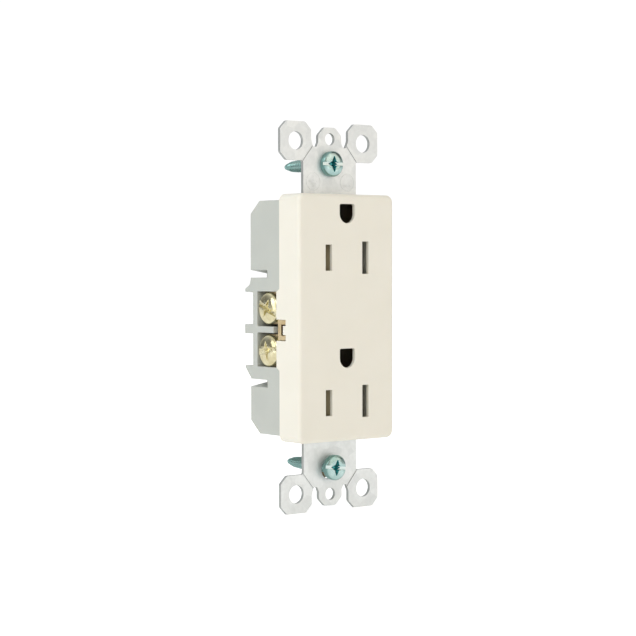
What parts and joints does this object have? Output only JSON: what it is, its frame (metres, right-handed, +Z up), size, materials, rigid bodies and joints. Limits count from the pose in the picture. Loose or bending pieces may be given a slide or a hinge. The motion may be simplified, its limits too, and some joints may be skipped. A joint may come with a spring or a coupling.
{
  "type": "duplex wall outlet",
  "caption": "Grounded duplex wall outlet with a flat rectangular face, sprung blade shutters, side screw terminals and a steel mounting strap with break-off ears.",
  "frame": {"origin": "centre of the front face, midway between the two outlets", "axes": "+X right seen from the front, +Y into the wall, +Z up with the ground holes above the blade slots"},
  "size_m": [0.0338, 0.0279, 0.1058],
  "materials": {
    "almond_plastic": "smooth light almond moulding",
    "grey_plastic": "pale grey moulding with a fine grain",
    "black_plastic": "dark moulded sheet",
    "taupe_plastic": "taupe moulding",
    "galvanised_steel": "zinc-coated sheet with a light spangle",
    "brass": "rolled strip",
    "brass_plate": "bright brass plating",
    "nickel_plate": "bright nickel plating",
    "teal_zinc": "bright zinc, teal in the recess",
    "green_zinc": "green dyed zinc",
    "plain_steel": "bright drawn steel",
    "fibre": "pressed fibre sheet"
  },
  "bodies": {
    "housing": {"face_cover": "almond_plastic", "rear_body": "grey_plastic", "insulator_plate": "black_plastic", "mounting_strap": "galvanised_steel", "upper_ground_clip": "brass", "lower_ground_clip": "brass", "upper_ground_rivet": "plain_steel", "lower_ground_rivet": "plain_steel", "upper_shutter_tray": "grey_plastic", "lower_shutter_tray": "grey_plastic", "upper_shutter_spring": "plain_steel", "lower_shutter_spring": "plain_steel", "hot_contact_bar": "brass", "neutral_contact_bar": "nickel_plate"},
    "upper_washer": {"upper_retaining_washer": "fibre"},
    "upper_mount_screw": {"upper_mounting_screw": "teal_zinc"},
    "lower_washer": {"lower_retaining_washer": "fibre"},
    "lower_mount_screw": {"lower_mounting_screw": "teal_zinc"},
    "upper_hot_clamp": {"upper_hot_clamp_plate": "brass_plate"},
    "upper_hot_terminal": {"upper_hot_screw": "brass_plate"},
    "lower_hot_clamp": {"lower_hot_clamp_plate": "brass_plate"},
    "lower_hot_terminal": {"lower_hot_screw": "brass_plate"},
    "upper_neutral_clamp": {"upper_neutral_clamp_plate": "nickel_plate"},
    "upper_neutral_terminal": {"upper_neutral_screw": "nickel_plate"},
    "lower_neutral_clamp": {"lower_neutral_clamp_plate": "nickel_plate"},
    "lower_neutral_terminal": {"lower_neutral_screw": "nickel_plate"},
    "ground_clamp": {"ground_clamp_plate": "green_zinc"},
    "ground_terminal": {"ground_screw": "green_zinc"},
    "upper_hot_shutter": {"upper_hot_shutter": "taupe_plastic"},
    "upper_neutral_shutter": {"upper_neutral_shutter": "taupe_plastic"},
    "lower_hot_shutter": {"lower_hot_shutter": "taupe_plastic"},
    "lower_neutral_shutter": {"lower_neutral_shutter": "taupe_plastic"}
  },
  "joints": [
    {"name": "upper_mount_travel", "type": "slide", "parent": "housing", "child": "upper_washer", "axis": [0, 1, 0], "range_m": [-0.0042, 0]},
    {"name": "upper_mount_turn", "type": "hinge", "parent": "upper_washer", "child": "upper_mount_screw", "pos_m": [0, 0.00745, 0.04167], "axis": [0, 1, 0], "range_deg": [-1906, 1]},
    {"name": "lower_mount_travel", "type": "slide", "parent": "housing", "child": "lower_washer", "axis": [0, 1, 0], "range_m": [-0.0032, 0.0009]},
    {"name": "lower_mount_turn", "type": "hinge", "parent": "lower_washer", "child": "lower_mount_screw", "pos_m": [0, 0.00645, -0.041], "axis": [0, 1, 0], "range_deg": [-1453, 410]},
    {"name": "upper_hot_travel", "type": "slide", "parent": "housing", "child": "upper_hot_clamp", "axis": [-1, 0, 0], "range_m": [-0.00125, 0.0012]},
    {"name": "upper_hot_turn", "type": "hinge", "parent": "upper_hot_clamp", "child": "upper_hot_terminal", "pos_m": [-0.01435, 0.0151, 0.0025], "axis": [-1, 0, 0], "range_deg": [-568, 546]},
    {"name": "lower_hot_travel", "type": "slide", "parent": "housing", "child": "lower_hot_clamp", "axis": [-1, 0, 0], "range_m": [-0.00125, 0.0012]},
    {"name": "lower_hot_turn", "type": "hinge", "parent": "lower_hot_clamp", "child": "lower_hot_terminal", "pos_m": [-0.01435, 0.0151, -0.009], "axis": [-1, 0, 0], "range_deg": [-568, 546]},
    {"name": "upper_neutral_travel", "type": "slide", "parent": "housing", "child": "upper_neutral_clamp", "axis": [1, 0, 0], "range_m": [-0.00125, 0.0012]},
    {"name": "upper_neutral_turn", "type": "hinge", "parent": "upper_neutral_clamp", "child": "upper_neutral_terminal", "pos_m": [0.01435, 0.0151, 0.0025], "axis": [1, 0, 0], "range_deg": [-568, 546]},
    {"name": "lower_neutral_travel", "type": "slide", "parent": "housing", "child": "lower_neutral_clamp", "axis": [1, 0, 0], "range_m": [-0.00125, 0.0012]},
    {"name": "lower_neutral_turn", "type": "hinge", "parent": "lower_neutral_clamp", "child": "lower_neutral_terminal", "pos_m": [0.01435, 0.0151, -0.009], "axis": [1, 0, 0], "range_deg": [-568, 546]},
    {"name": "ground_travel", "type": "slide", "parent": "housing", "child": "ground_clamp", "axis": [1, 0, 0], "range_m": [-0.00025, 0.0022]},
    {"name": "ground_turn", "type": "hinge", "parent": "ground_clamp", "child": "ground_terminal", "pos_m": [0.01335, 0.0134, 0.027], "axis": [1, 0, 0], "range_deg": [-115, 999]},
    {"name": "upper_hot_shutter_slide", "type": "slide", "parent": "housing", "child": "upper_hot_shutter", "axis": [1, 0, 0], "range_m": [0, 0.0026], "stiffness_N_per_m": 300, "springref_m": -0.002, "deforming": ["upper_shutter_spring"]},
    {"name": "upper_neutral_shutter_slide", "type": "slide", "parent": "housing", "child": "upper_neutral_shutter", "axis": [-1, 0, 0], "range_m": [0, 0.0026]},
    {"name": "lower_hot_shutter_slide", "type": "slide", "parent": "housing", "child": "lower_hot_shutter", "axis": [1, 0, 0], "range_m": [0, 0.0026], "stiffness_N_per_m": 300, "springref_m": -0.002, "deforming": ["lower_shutter_spring"]},
    {"name": "lower_neutral_shutter_slide", "type": "slide", "parent": "housing", "child": "lower_neutral_shutter", "axis": [-1, 0, 0], "range_m": [0, 0.0026]}
  ],
  "couplings": [
    {"joint": "upper_mount_turn", "follows": "upper_mount_travel", "rad_per_m": 7915.8},
    {"joint": "lower_mount_turn", "follows": "lower_mount_travel", "rad_per_m": 7915.8},
    {"joint": "upper_hot_turn", "follows": "upper_hot_travel", "rad_per_m": 7915.8},
    {"joint": "lower_hot_turn", "follows": "lower_hot_travel", "rad_per_m": 7915.8},
    {"joint": "upper_neutral_turn", "follows": "upper_neutral_travel", "rad_per_m": 7915.8},
    {"joint": "lower_neutral_turn", "follows": "lower_neutral_travel", "rad_per_m": 7915.8},
    {"joint": "ground_turn", "follows": "ground_travel", "rad_per_m": 7915.8},
    {"joint": "upper_neutral_shutter_slide", "follows": "upper_hot_shutter_slide", "ratio": 1},
    {"joint": "lower_neutral_shutter_slide", "follows": "lower_hot_shutter_slide", "ratio": 1}
  ]
}
